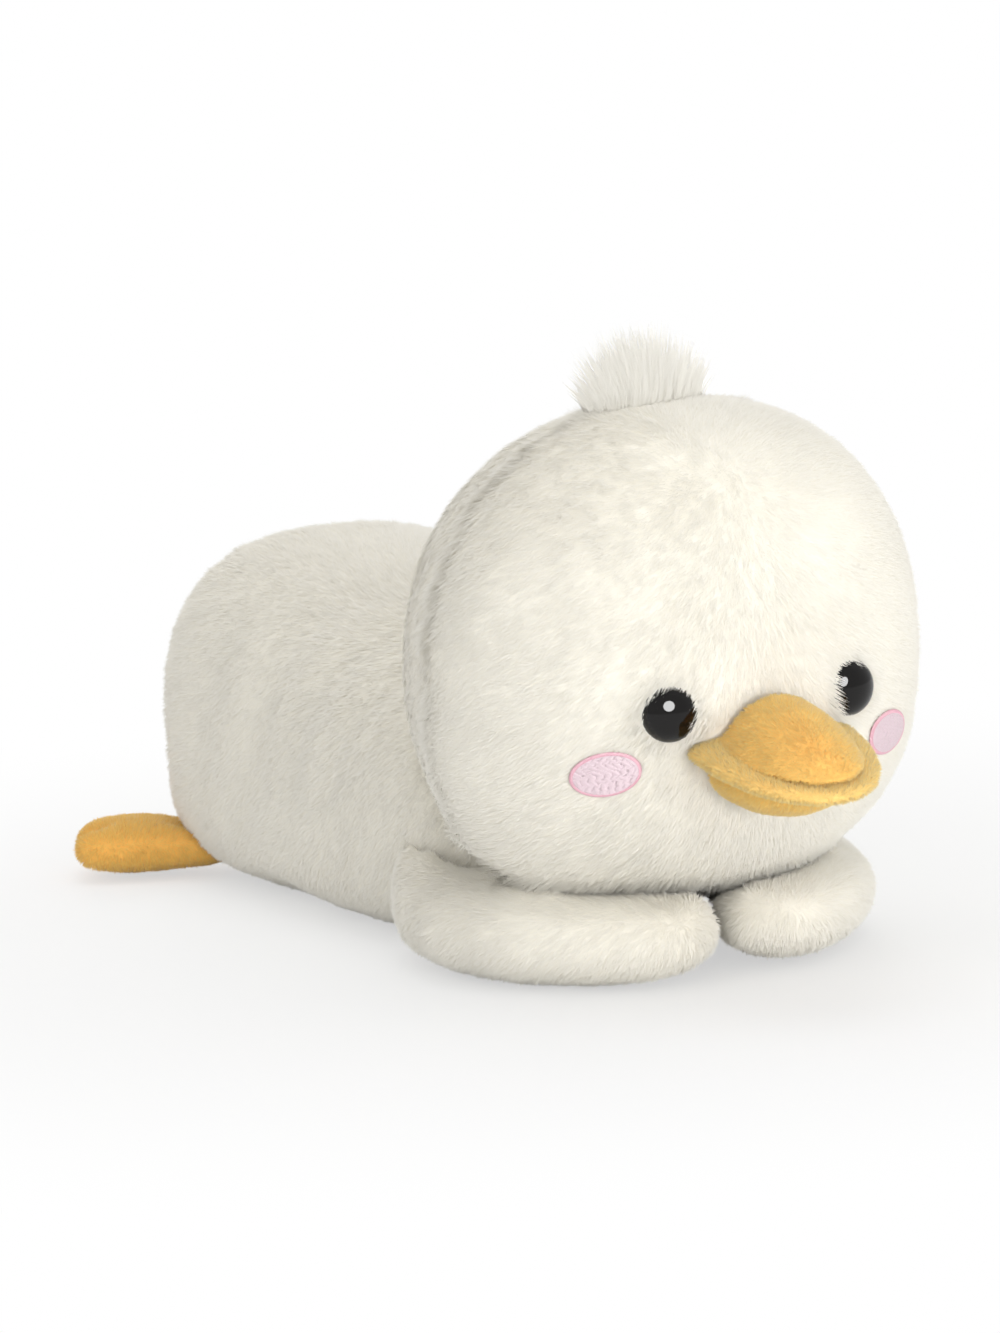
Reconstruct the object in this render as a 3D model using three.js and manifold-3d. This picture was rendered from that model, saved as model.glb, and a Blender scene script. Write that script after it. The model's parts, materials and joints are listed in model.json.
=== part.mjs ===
// A plush goose lying on its belly, with its chin on its wings.
// Millimetres, +Z up. The goose faces -Y and its left side is +X. It lies on the plane z = 0.

import * as THREE from 'three';
import { mergeVertices } from 'three/addons/utils/BufferGeometryUtils.js';
import Module from 'manifold-3d';

const wasm = await Module();
wasm.setup();

// Covers, seams and clearances
const PLUSH_COVER = 4; // white pile fabric, backing and pile together
const VELVET_COVER = 1.8; // orange short-pile fabric of the bill and feet
const SEAM_GAP = 0.3; // between two cover panels sewn edge to edge
const FILL_GAP = 0.3; // between a cover and its filling
const SEAT_GAP = 0.3; // between a piece and what it is sewn to
const TURN_GAP = 1.8; // between the head and what it turns against
const NECK_PLAY = 0.4; // between the neck plug and the pockets it turns in
const REST_CUT = 0.5; // depth of the flat that the weight presses into soft forms

// Head, a ball a little squared at the corners
const HEAD_HALF_WIDTH = 57;
const HEAD_UPPER_HEIGHT = 55; // head centre to crown
const HEAD_LOWER_HEIGHT = 51; // head centre to chin
const HEAD_FRONT_DEPTH = 46.5; // head centre to face
const HEAD_BACK_DEPTH = 50.5; // head centre to nape
const CHIN_HEIGHT = 15; // underside of the head above the table
const HEAD_SEAM_BACK = 4; // seam between face and rear panel, behind the head centre

// Body, a blunt bolster with a round end panel
const BODY_REAR = 167; // head centre to the end of the rump
const BODY_FRONT = 14; // head centre to the front of the body form, which the head cuts away
const BODY_FRONT_HALF_WIDTH = 42;
const BODY_REAR_HALF_WIDTH = 48.5;
const BODY_FRONT_HEIGHT = 51;
const BODY_REAR_HEIGHT = 82;
const RUMP_DEPTH = 13; // depth of the end panel at its seam
const BELLY_SEAM_HEIGHT = 27;

// Neck plug, a piece of filling that holds the head to the body
const NECK_TILT_DEG = 41; // neck direction below level, seen from the head centre
const NECK_PLUG_HALF_DEG = 15;
const NECK_INTO_HEAD = 9;
const NECK_INTO_BODY = 8;
const HEAD_TURN_DEG = 10;
const HEAD_NOD_DEG = 10;
const NECK_SPARE_DEG = 4; // play round the plug at the ends of the head's travel

// Face
const EYE_RADIUS = 6;
const EYE_DOME = 4.6;
const EYE_SIDE = 22; // eye centre from the middle of the face
const EYE_DROP = 4.5; // eye centre below the head centre
const EYE_SUNK = 1.4; // rim of the eye below the pile
const EYE_STEM_RADIUS = 2;
const EYE_STEM_LENGTH = 13;
const EYE_STEM_RIDGE = 0.35;
const EYE_RIDGES = 3;
const WASHER_RADIUS = 6.5;
const WASHER_THICKNESS = 1.6;
const STEM_CLEARANCE = 0.3;
const CHEEK_SIDE = 34;
const CHEEK_DROP = 16.5;
const CHEEK_HALF_WIDTH = 7.6;
const CHEEK_HALF_HEIGHT = 5;
const CHEEK_TILT_DEG = 10;
const CHEEK_THICKNESS = 0.8;
const CHEEK_SEGMENTS = 24;
const FACE_SLOPE_STEP = 0.5; // spacing of the points that give the face's slope

// Bill: two domes with a puffed lip between them
const BILL_DROP = 14.5; // lip line below the head centre, at the face
const BILL_PITCH_DEG = 13;
const LIP_HALF_WIDTH = 19.5;
const LIP_REACH = 29;
const LIP_HALF_THICKNESS = 2.8;
const BILL_ROOT_BACK = 8; // the bill forms start this far behind the face, which cuts them
const UPPER_BILL_HALF_WIDTH = 17;
const UPPER_BILL_REACH = 26;
const UPPER_BILL_HEIGHT = 13;
const LOWER_BILL_HALF_WIDTH = 16;
const LOWER_BILL_REACH = 21;
const LOWER_BILL_HEIGHT = 11.5;

// Tuft of long pile on the crown
const TUFT_BACK = 3; // behind the head centre
const TUFT_HALF_WIDTH = 15;
const TUFT_HALF_DEPTH = 8;
const TUFT_HEIGHT = 11; // above the crown
const TUFT_ROOT = 7; // depth of the tuft form below the crown, which the head cuts away
const TUFT_LOCKS = 7;
const TUFT_LOCK_DEPTH = 0.12; // share of the tuft's width
const TUFT_ROOT_SHARE = 0.75; // width at the root over width at the top
const TUFT_MESH = { rings: 8, sides: 4 * TUFT_LOCKS };

// Wings, flattened arms bent inwards under the chin
const SHOULDER_BACK = 48; // shoulder hinge behind the head centre
const SHOULDER_OUT = 2; // shoulder hinge outside the flank
const WING_ROOT_INSIDE = 9; // wing form inside the flank, which the body cuts away
const WING_ELBOW_SIDE = 54; // outer edge of the wing at its bend
const WING_ELBOW_BACK = 9; // bend behind the head centre
const WING_TIP_SIDE = 6.2;
const WING_TIP_FRONT = 28.5;
const WING_ROOT_HALF_WIDTH = 15;
const WING_MID_HALF_WIDTH = 18;
const WING_TIP_HALF_WIDTH = 16.5;
const WING_WIDEST_SHARE = 0.5; // of the wing's length
const WING_HALF_THICKNESS = 11.5;
const WING_SWING_DEG = 30;

// Feet, flat paddles sewn into the belly seam and splayed outwards
const FOOT_FORWARD = 15; // foot hinge ahead of the rump's end
const FOOT_OUT = 1.5; // foot hinge outside the flank
const FOOT_ROOT_INSIDE = 9;
const FOOT_LENGTH = 22.8; // hinge to toe
const FOOT_SPLAY_DEG = 56; // from straight back
const FOOT_ROOT_HALF_WIDTH = 10;
const FOOT_TOE_HALF_WIDTH = 14.5;
const FOOT_ROOT_HALF_THICKNESS = 5.5;
const FOOT_HALF_THICKNESS = 7;
const FOOT_FLEX_DEG = 25;
const FOOT_FULL_SHARE = 0.6; // of the foot's length, where it reaches full thickness
const TOE_SHARE = 0.8; // of the foot's length, where the toes begin
const TOE_NOTCH_SIDE = 1 / 3; // of the half width, from the middle of the foot
const TOE_NOTCH = 2.4; // depth of the two tack stitches that pull the toes apart
const TOE_NOTCH_WIDTH = 2.2;

// Roundness of the forms: 2 is an ellipse, more is squarer
const HEAD_SQUARENESS = 2.3;
const FACE_SQUARENESS = 2.15;
const NAPE_SQUARENESS = 2;
const BACK_SQUARENESS = 2.5;
const BELLY_SQUARENESS = 5.8;
const RUMP_SQUARENESS = 5.5;
const CHEST_SQUARENESS = 3.6;
const LIMB_SQUARENESS = 2.3;
const LIMB_END_SQUARENESS = 3.6;
const BILL_SQUARENESS = 2.1;

const FAR = 500; // reach of the half spaces that split the covers

const HEAD_CENTRE = new THREE.Vector3(0, 0, CHIN_HEIGHT + HEAD_LOWER_HEIGHT);
const SIDES = [['right', -1], ['left', 1]];
const radians = THREE.MathUtils.degToRad;
const mix = THREE.MathUtils.lerp;

// Finishes
const finish = (color, roughness) => new THREE.MeshStandardMaterial({ color, roughness });
const WHITE_PLUSH = finish(0xf6f4ea, 0.95);
const ORANGE_VELVET = finish(0xeab04a, 0.9);
const PALE_VELVET = finish(0xf3c264, 0.9);
const FILLING = finish(0xfafafa, 1);
const BLACK_EYE = finish(0x0c0b0b, 0.08);
const WASHER_PLASTIC = finish(0xe8e6e0, 0.5);
const PINK_THREAD = finish(0xf3c3cf, 0.7);

const model = new THREE.Group();

// A closed solid from a geometry, with its shared corners merged.
function solid(geometry) {
  const plain = geometry.index ? geometry.clone() : mergeVertices(geometry);
  plain.deleteAttribute('normal');
  plain.deleteAttribute('uv');
  const merged = mergeVertices(plain, 1e-5);
  return new wasm.Manifold(new wasm.Mesh({
    numProp: 3,
    vertProperties: new Float32Array(merged.attributes.position.array),
    triVerts: new Uint32Array(merged.index.array),
  }));
}

function addPiece(name, shape, material) {
  const { vertProperties, triVerts } = shape.getMesh();
  const geometry = new THREE.BufferGeometry();
  geometry.setAttribute('position', new THREE.BufferAttribute(new Float32Array(vertProperties), 3));
  geometry.setIndex(new THREE.BufferAttribute(new Uint32Array(triVerts), 1));
  geometry.computeVertexNormals();
  const mesh = new THREE.Mesh(geometry, material);
  mesh.name = name;
  model.add(mesh);
}

// Everything from low to high along one axis, without end across the other two.
function slab(axis, low, high) {
  const size = new THREE.Vector3(2 * FAR, 2 * FAR, 2 * FAR);
  const centre = new THREE.Vector3();
  size[axis] = high - low;
  centre[axis] = (low + high) / 2;
  const box = new THREE.BoxGeometry(size.x, size.y, size.z);
  box.translate(centre.x, centre.y, centre.z);
  return solid(box);
}

const above = (axis, level) => slab(axis, level, level + FAR);
const below = (axis, level) => slab(axis, level - FAR, level);
const TABLE = below('z', 0);

// A turned profile of [radius, height] pairs, its axis laid along direction from origin.
function turned(profile, segments, origin, direction) {
  const points = profile.map(([radius, height]) => new THREE.Vector2(radius, height));
  const lathe = new THREE.LatheGeometry(points, segments);
  lathe.applyQuaternion(new THREE.Quaternion().setFromUnitVectors(new THREE.Vector3(0, 1, 0), direction));
  lathe.translate(origin.x, origin.y, origin.z);
  return solid(lathe);
}

// The unit point at an angle on a superellipse.
function superPoint(angle, power) {
  const c = Math.cos(angle);
  const s = Math.sin(angle);
  const size = (Math.abs(c) ** power + Math.abs(s) ** power) ** (-1 / power);
  return [c * size, s * size];
}

// A closed skin of rings from pole to pole. place(lengthAngle, roundAngle) gives each point.
function ringForm(rings, sides, place) {
  const points = [place(0, 0)];
  for (let ring = 1; ring < rings; ring += 1) {
    for (let side = 0; side < sides; side += 1) {
      points.push(place((Math.PI * ring) / rings, (2 * Math.PI * side) / sides));
    }
  }
  points.push(place(Math.PI, 0));
  const last = points.length - 1;
  const at = (ring, side) => 1 + (ring - 1) * sides + (side % sides);
  const index = [];
  for (let side = 0; side < sides; side += 1) {
    index.push(0, at(1, side), at(1, side + 1));
    index.push(last, at(rings - 1, side + 1), at(rings - 1, side));
    for (let ring = 1; ring < rings - 1; ring += 1) {
      index.push(at(ring, side), at(ring + 1, side), at(ring + 1, side + 1));
      index.push(at(ring, side), at(ring + 1, side + 1), at(ring, side + 1));
    }
  }
  return closedSkin(points, index);
}

// Turns the faces outwards whichever way the rings ran.
function closedSkin(points, index) {
  let volume = 0;
  for (let i = 0; i < index.length; i += 3) {
    const [a, b, c] = [points[index[i]], points[index[i + 1]], points[index[i + 2]]];
    volume += a.dot(b.clone().cross(c));
  }
  const geometry = new THREE.BufferGeometry().setFromPoints(points);
  geometry.setIndex(volume > 0 ? index : index.slice().reverse());
  return solid(geometry);
}

// Head form. grow is added all round, so a negative value insets it.
const HEAD_MESH = { rings: 16, sides: 24 };
const HEAD_FILL_MESH = { rings: 10, sides: 16 };

function headForm(grow, { rings, sides } = HEAD_MESH) {
  return ringForm(rings, sides, (lengthAngle, roundAngle) => {
    const front = lengthAngle < Math.PI / 2;
    const [along, radius] = superPoint(lengthAngle, front ? FACE_SQUARENESS : NAPE_SQUARENESS);
    const [across, up] = superPoint(roundAngle, HEAD_SQUARENESS);
    const depth = front ? HEAD_FRONT_DEPTH : HEAD_BACK_DEPTH;
    const height = up > 0 ? HEAD_UPPER_HEIGHT : HEAD_LOWER_HEIGHT;
    return new THREE.Vector3(
      (HEAD_HALF_WIDTH + grow) * radius * across,
      -(depth + grow) * along,
      HEAD_CENTRE.z + (height + grow) * radius * up,
    );
  });
}

// The face's surface point at (across, up) from the head centre, and its outward normal.
function onFace(across, up) {
  const bulge = (x, z) => {
    const height = z > 0 ? HEAD_UPPER_HEIGHT : HEAD_LOWER_HEIGHT;
    const round = (Math.abs(x / HEAD_HALF_WIDTH) ** HEAD_SQUARENESS
      + Math.abs(z / height) ** HEAD_SQUARENESS) ** (1 / HEAD_SQUARENESS);
    return HEAD_FRONT_DEPTH * (1 - round ** FACE_SQUARENESS) ** (1 / FACE_SQUARENESS);
  };
  const step = FACE_SLOPE_STEP;
  const slopeAcross = (bulge(across + step, up) - bulge(across - step, up)) / (2 * step);
  const slopeUp = (bulge(across, up + step) - bulge(across, up - step)) / (2 * step);
  return {
    point: new THREE.Vector3(across, -bulge(across, up), HEAD_CENTRE.z + up),
    normal: new THREE.Vector3(-slopeAcross, -1, -slopeUp).normalize(),
  };
}

// Body form
const BODY_MESH = { rings: 14, sides: 24 };
const BODY_FILL_MESH = { rings: 9, sides: 16 };
const BODY_HALF_LENGTH = (BODY_REAR - BODY_FRONT) / 2;
const BODY_MIDDLE = (BODY_REAR + BODY_FRONT) / 2;

function bodySection(share) {
  return {
    halfWidth: mix(BODY_FRONT_HALF_WIDTH, BODY_REAR_HALF_WIDTH, share),
    halfHeight: mix(BODY_FRONT_HEIGHT, BODY_REAR_HEIGHT, share) / 2,
  };
}

function bodyForm(grow, { rings, sides } = BODY_MESH) {
  return ringForm(rings, sides, (lengthAngle, roundAngle) => {
    const chest = lengthAngle < Math.PI / 2;
    const [along, radius] = superPoint(lengthAngle, chest ? CHEST_SQUARENESS : RUMP_SQUARENESS);
    const sagging = Math.sin(roundAngle) < 0;
    const [across, up] = superPoint(roundAngle, sagging ? BELLY_SQUARENESS : BACK_SQUARENESS);
    const { halfWidth, halfHeight } = bodySection((1 - along) / 2);
    return new THREE.Vector3(
      (halfWidth + grow) * radius * across,
      BODY_MIDDLE - (BODY_HALF_LENGTH + grow) * along,
      halfHeight - REST_CUT + (halfHeight + grow) * radius * up,
    );
  });
}

// How far the flank stands out from the middle at a place along and up the body.
function flankAt(back, height) {
  const along = (BODY_MIDDLE - back) / BODY_HALF_LENGTH;
  const power = along > 0 ? CHEST_SQUARENESS : RUMP_SQUARENESS;
  const radius = (1 - Math.abs(along) ** power) ** (1 / power);
  const { halfWidth, halfHeight } = bodySection((1 - along) / 2);
  const up = (height - halfHeight + REST_CUT) / (halfHeight * radius);
  const squareness = up < 0 ? BELLY_SQUARENESS : BACK_SQUARENESS;
  return halfWidth * radius * (1 - Math.abs(up) ** squareness) ** (1 / squareness);
}

// A flattened limb along a level curve, from its root end to its tip end.
// section(share) gives its half width and half thickness at a share of its length.
function limbForm(curve, section, grow, { rings, sides }) {
  const length = curve.getLength();
  return ringForm(rings, sides, (lengthAngle, roundAngle) => {
    const [along, radius] = superPoint(lengthAngle, LIMB_END_SQUARENESS);
    const [across, up] = superPoint(roundAngle, LIMB_SQUARENESS);
    const share = (1 - along) / 2;
    const point = curve.getPointAt(share);
    const tangent = curve.getTangentAt(share);
    const sideways = new THREE.Vector3(-tangent.y, tangent.x, 0).normalize();
    const { halfWidth, halfThickness, notch = 0 } = section(share, across);
    return point
      .addScaledVector(tangent, -along * grow - notch * length * radius)
      .addScaledVector(sideways, (halfWidth + grow) * radius * across)
      .add(new THREE.Vector3(0, 0, (halfThickness + grow) * radius * up));
  });
}

const LIMB_MESH = { rings: 11, sides: 14 };
const LIMB_FILL_MESH = { rings: 7, sides: 10 };

// The solid turned about a line through pivot.
function turnedAbout(shape, pivot, axis, degrees) {
  const turn = new THREE.Matrix4()
    .makeTranslation(pivot.x, pivot.y, pivot.z)
    .multiply(new THREE.Matrix4().makeRotationAxis(axis, radians(degrees)))
    .multiply(new THREE.Matrix4().makeTranslation(-pivot.x, -pivot.y, -pivot.z));
  return shape.transform(turn.toArray());
}

// A limb less the body, at rest and with the limb swung to the end of its travel.
function clearOfBody(limb, grow, pivot, axis, degrees) {
  const body = bodyForm(grow);
  const swung = turnedAbout(body, pivot, axis, -degrees);
  const halfway = turnedAbout(body, pivot, axis, -degrees / 2);
  return limb.subtract(body).subtract(halfway).subtract(swung);
}

// Neck: a sector of a ball round the head centre, so the head turns over it.
const NECK_DIRECTION = new THREE.Vector3(
  0, Math.cos(radians(NECK_TILT_DEG)), -Math.sin(radians(NECK_TILT_DEG)),
);
const NECK_ARC_STEPS = 4;
const NECK_SEGMENTS = 20;

function neckSector(inner, outer, halfDegrees) {
  const arc = (radius, from, to) => Array.from({ length: NECK_ARC_STEPS + 1 }, (_, step) => {
    const angle = radians(mix(from, to, step / NECK_ARC_STEPS));
    return [radius * Math.sin(angle), radius * Math.cos(angle)];
  });
  const profile = [...arc(inner, 0, halfDegrees), ...arc(outer, halfDegrees, 0)];
  return turned(profile, NECK_SEGMENTS, HEAD_CENTRE, NECK_DIRECTION);
}

const NECK_INNER = HEAD_BACK_DEPTH - NECK_INTO_HEAD;
const NECK_OUTER = HEAD_BACK_DEPTH + NECK_INTO_BODY;
const NECK_OPENING = neckSector(
  NECK_INNER - NECK_PLAY,
  NECK_OUTER + NECK_PLAY,
  NECK_PLUG_HALF_DEG + Math.max(HEAD_TURN_DEG, HEAD_NOD_DEG) + NECK_SPARE_DEG,
);

function makeNeck() {
  addPiece('neck_stuffing', neckSector(NECK_INNER, NECK_OUTER, NECK_PLUG_HALF_DEG), FILLING);
}

function makeBody() {
  const hollow = headForm(TURN_GAP);
  const cut = (shape) => shape.subtract(hollow).subtract(NECK_OPENING);
  const cover = cut(bodyForm(0).subtract(bodyForm(-PLUSH_COVER, BODY_FILL_MESH)).subtract(TABLE));
  const rumpSeam = BODY_REAR - RUMP_DEPTH;
  const barrel = cover.intersect(below('y', rumpSeam - SEAM_GAP / 2));
  addPiece('body_back_panel', barrel.intersect(above('z', BELLY_SEAM_HEIGHT + SEAM_GAP / 2)), WHITE_PLUSH);
  addPiece('body_belly_panel', barrel.intersect(below('z', BELLY_SEAM_HEIGHT - SEAM_GAP / 2)), WHITE_PLUSH);
  addPiece('body_rump_panel', cover.intersect(above('y', rumpSeam + SEAM_GAP / 2)), WHITE_PLUSH);
  addPiece('body_stuffing', cut(bodyForm(-PLUSH_COVER - FILL_GAP, BODY_FILL_MESH)), FILLING);
}

// Safety eye: a dome with a ridged stem, pushed through the cover and locked by a washer inside.
function eyeProfile() {
  const domeSteps = 5;
  const profile = [[0, -EYE_STEM_LENGTH]];
  const pitch = EYE_STEM_LENGTH / (EYE_RIDGES + 1);
  for (let ridge = 0; ridge < EYE_RIDGES; ridge += 1) {
    const foot = -EYE_STEM_LENGTH + ridge * pitch;
    profile.push([EYE_STEM_RADIUS - EYE_STEM_RIDGE, foot]);
    profile.push([EYE_STEM_RADIUS, foot + pitch]);
  }
  profile.push([EYE_STEM_RADIUS - EYE_STEM_RIDGE, -pitch]);
  profile.push([EYE_STEM_RADIUS - EYE_STEM_RIDGE, 0]);
  for (let step = 0; step <= domeSteps; step += 1) {
    const angle = (Math.PI / 2) * (step / domeSteps);
    profile.push([EYE_RADIUS * Math.cos(angle), EYE_DOME * Math.sin(angle)]);
  }
  profile[profile.length - 1][0] = 0;
  return profile;
}

const EYE_SEGMENTS = 16;

function makeEye(name, side) {
  const { point, normal } = onFace(side * EYE_SIDE, -EYE_DROP);
  const seat = point.clone().addScaledVector(normal, -EYE_SUNK);
  const washerFace = PLUSH_COVER - EYE_SUNK + 2 * SEAT_GAP;
  const washerEnd = washerFace + WASHER_THICKNESS;
  const bore = EYE_STEM_RADIUS + STEM_CLEARANCE;
  const hole = (radius, from, to) => turned(
    [[0, from], [radius, from], [radius, to], [0, to]], EYE_SEGMENTS, seat, normal,
  );
  addPiece(`eye_${name}`, turned(eyeProfile(), EYE_SEGMENTS, seat, normal), BLACK_EYE);
  const washer = hole(WASHER_RADIUS, -washerEnd, -washerFace)
    .subtract(hole(bore, -washerEnd - SEAT_GAP, -washerFace + SEAT_GAP));
  addPiece(`eye_washer_${name}`, washer, WASHER_PLASTIC);
  return {
    coverCut: hole(EYE_RADIUS + SEAT_GAP, -SEAT_GAP, EYE_DOME)
      .add(hole(bore, -washerEnd, 0)),
    washerSeat: hole(WASHER_RADIUS + SEAT_GAP, -washerEnd, -washerFace + SEAT_GAP),
    fillCut: hole(WASHER_RADIUS + SEAT_GAP, -washerEnd - SEAT_GAP, EYE_DOME)
      .add(hole(bore, -EYE_STEM_LENGTH - SEAT_GAP, 0)),
  };
}

// Embroidered patch: a slice of a shell just over the face, with an oval outline.
function makeCheek(name, side) {
  const { point, normal } = onFace(side * CHEEK_SIDE, -CHEEK_DROP);
  const disc = [[0, -1], [1, -1], [1, 1], [0, 1]];
  const oval = turned(disc, CHEEK_SEGMENTS, new THREE.Vector3(), new THREE.Vector3(0, 0, 1));
  const across = new THREE.Vector3(0, 0, 1).cross(normal).normalize();
  const up = normal.clone().cross(across);
  const tilt = radians(CHEEK_TILT_DEG * -side);
  const long = across.clone().multiplyScalar(Math.cos(tilt)).addScaledVector(up, Math.sin(tilt));
  const short = normal.clone().cross(long);
  const place = new THREE.Matrix4().makeBasis(
    long.multiplyScalar(CHEEK_HALF_WIDTH),
    short.multiplyScalar(CHEEK_HALF_HEIGHT),
    normal.clone().multiplyScalar(CHEEK_HALF_WIDTH),
  ).setPosition(point);
  const layer = headForm(SEAT_GAP + CHEEK_THICKNESS).subtract(headForm(SEAT_GAP));
  addPiece(`cheek_${name}`, layer.intersect(oval.transform(place.toArray())), PINK_THREAD);
}

function makeHead() {
  const eyes = SIDES.map(([name, side]) => makeEye(name, side));
  const seam = HEAD_SEAM_BACK;
  const cover = headForm(0).subtract(headForm(-PLUSH_COVER, HEAD_FILL_MESH));
  const face = cover.intersect(below('y', seam - SEAM_GAP / 2));
  const nape = cover.intersect(above('y', seam + SEAM_GAP / 2)).subtract(NECK_OPENING);
  const fill = headForm(-PLUSH_COVER - FILL_GAP, HEAD_FILL_MESH).subtract(NECK_OPENING);
  const cutFace = eyes.reduce((shape, eye) => shape.subtract(eye.coverCut).subtract(eye.washerSeat), face);
  addPiece('head_face_panel', cutFace, WHITE_PLUSH);
  addPiece('head_back_panel', nape, WHITE_PLUSH);
  addPiece('head_stuffing', eyes.reduce((shape, eye) => shape.subtract(eye.fillCut), fill), FILLING);
  SIDES.forEach(([name, side]) => makeCheek(name, side));
}

// A lobed clump that flares upwards from the crown.
function makeTuft() {
  const crown = HEAD_CENTRE.z + HEAD_UPPER_HEIGHT;
  const middle = crown + (TUFT_HEIGHT - TUFT_ROOT) / 2;
  const halfHeight = (TUFT_HEIGHT + TUFT_ROOT) / 2;
  const clump = ringForm(TUFT_MESH.rings, TUFT_MESH.sides, (lengthAngle, roundAngle) => {
    const [along, radius] = superPoint(lengthAngle, LIMB_SQUARENESS);
    const lock = 1 + TUFT_LOCK_DEPTH * Math.cos(TUFT_LOCKS * roundAngle);
    const spread = radius * lock * mix(TUFT_ROOT_SHARE, 1, (1 + along) / 2);
    return new THREE.Vector3(
      TUFT_HALF_WIDTH * spread * Math.cos(roundAngle),
      TUFT_BACK + TUFT_HALF_DEPTH * spread * Math.sin(roundAngle),
      middle + halfHeight * along,
    );
  });
  addPiece('head_tuft', clump.subtract(headForm(SEAT_GAP)), WHITE_PLUSH);
}

// Bill: forms in their own frame, forward along -Y, then pitched and set on the face.
const BILL_MESH = { rings: 10, sides: 18 };
const BILL_FILL_MESH = { rings: 7, sides: 12 };

function billForm(halfWidth, reach, halfHeight, { rings, sides }) {
  const form = ringForm(rings, sides, (lengthAngle, roundAngle) => {
    const [along, radius] = superPoint(lengthAngle, BILL_SQUARENESS);
    const [across, up] = superPoint(roundAngle, BILL_SQUARENESS);
    const depth = along > 0 ? reach : BILL_ROOT_BACK;
    return new THREE.Vector3(halfWidth * radius * across, -depth * along, halfHeight * radius * up);
  });
  const { point } = onFace(0, -BILL_DROP);
  const place = new THREE.Matrix4()
    .makeRotationX(radians(BILL_PITCH_DEG))
    .setPosition(point);
  return { form, place };
}

function makeBill() {
  const lipTop = LIP_HALF_THICKNESS + SEAT_GAP;
  const face = headForm(SEAT_GAP);
  const halves = [
    ['upper_bill', 1, UPPER_BILL_HALF_WIDTH, UPPER_BILL_REACH, UPPER_BILL_HEIGHT],
    ['lower_bill', -1, LOWER_BILL_HALF_WIDTH, LOWER_BILL_REACH, LOWER_BILL_HEIGHT],
  ];
  for (const [name, way, halfWidth, reach, height] of halves) {
    const outer = billForm(halfWidth, reach, height, BILL_MESH);
    const hollow = (wall) => billForm(halfWidth - wall, reach - wall, height - wall, BILL_FILL_MESH).form;
    const half = way > 0 ? above('z', lipTop) : below('z', -lipTop);
    const seated = (shape) => shape.intersect(half).transform(outer.place.toArray()).subtract(face);
    addPiece(name, seated(outer.form.subtract(hollow(VELVET_COVER))), ORANGE_VELVET);
    addPiece(`${name}_stuffing`, seated(hollow(VELVET_COVER + FILL_GAP)), FILLING);
  }
  const lip = billForm(LIP_HALF_WIDTH, LIP_REACH, LIP_HALF_THICKNESS, BILL_MESH);
  addPiece('bill_lip', lip.form.transform(lip.place.toArray()).subtract(face), PALE_VELVET);
}

// A limb's two cover panels, sewn along its middle plane, and its filling.
function makeLimb(names, form, seamHeight, cover, material, fillMesh) {
  const shell = form(0, LIMB_MESH).subtract(form(-cover, fillMesh)).subtract(TABLE);
  addPiece(names.top, shell.intersect(above('z', seamHeight + SEAM_GAP / 2)), material);
  addPiece(names.under, shell.intersect(below('z', seamHeight - SEAM_GAP / 2)), material);
  addPiece(names.fill, form(-cover - FILL_GAP, fillMesh), FILLING);
}

function makeWing(name, side) {
  const middle = WING_HALF_THICKNESS - REST_CUT;
  const flank = flankAt(SHOULDER_BACK, middle);
  const shoulder = new THREE.Vector3(side * (flank + SHOULDER_OUT), SHOULDER_BACK, middle);
  const curve = new THREE.CatmullRomCurve3([
    new THREE.Vector3(side * (flank - WING_ROOT_INSIDE), SHOULDER_BACK + WING_ROOT_INSIDE / 2, middle),
    new THREE.Vector3(side * (WING_ELBOW_SIDE - WING_MID_HALF_WIDTH), WING_ELBOW_BACK, middle),
    new THREE.Vector3(side * WING_TIP_SIDE, -WING_TIP_FRONT, middle),
  ]);
  const section = (share) => {
    const widest = WING_WIDEST_SHARE;
    const halfWidth = share < widest
      ? mix(WING_ROOT_HALF_WIDTH, WING_MID_HALF_WIDTH, share / widest)
      : mix(WING_MID_HALF_WIDTH, WING_TIP_HALF_WIDTH, (share - widest) / (1 - widest));
    return { halfWidth, halfThickness: WING_HALF_THICKNESS };
  };
  const up = new THREE.Vector3(0, 0, 1);
  const form = (grow, mesh) => clearOfBody(
    limbForm(curve, section, grow, mesh), SEAT_GAP - grow, shoulder, up, side * WING_SWING_DEG,
  ).subtract(headForm(TURN_GAP - grow));
  const names = {
    top: `wing_${name}_top_panel`,
    under: `wing_${name}_under_panel`,
    fill: `wing_${name}_stuffing`,
  };
  makeLimb(names, form, middle, PLUSH_COVER, WHITE_PLUSH, LIMB_FILL_MESH);
}

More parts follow.
